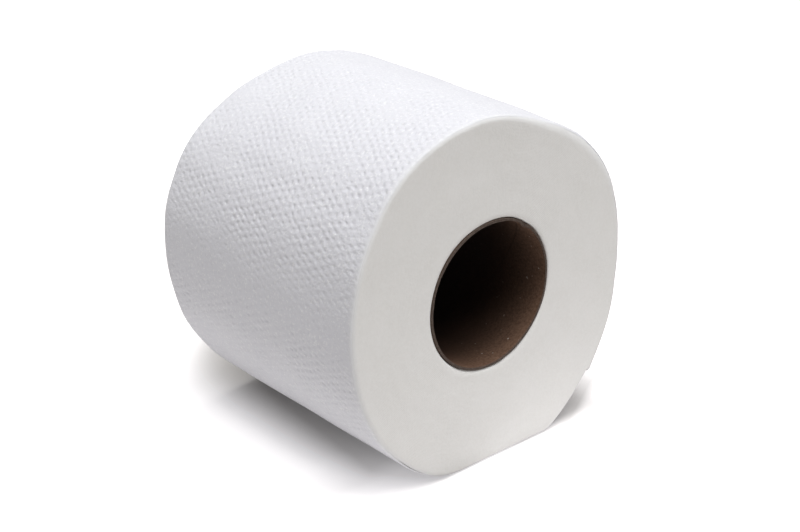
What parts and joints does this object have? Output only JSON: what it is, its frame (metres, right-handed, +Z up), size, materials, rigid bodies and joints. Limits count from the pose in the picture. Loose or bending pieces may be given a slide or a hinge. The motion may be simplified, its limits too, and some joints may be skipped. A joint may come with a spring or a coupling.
{
  "type": "toilet paper roll",
  "caption": "Toilet paper roll on a cardboard core: dot-embossed white tissue wound on a tube, lying on its side on a small flat spot.",
  "frame": {"origin": "on the surface the roll lies on, straight below the core's axis and half way along the roll", "axes": "+Z up, +Y along the core's axis from the front end to the back end, +X to the right seen from the front end"},
  "size_m": [0.1117, 0.092, 0.1126],
  "materials": {
    "core_card": "unbleached grey-brown card, spiral wound, matt",
    "tissue": "white embossed tissue, soft and matt"
  },
  "bodies": {
    "root": {"core": "core_card", "paper_roll": "tissue"}
  },
  "joints": []
}
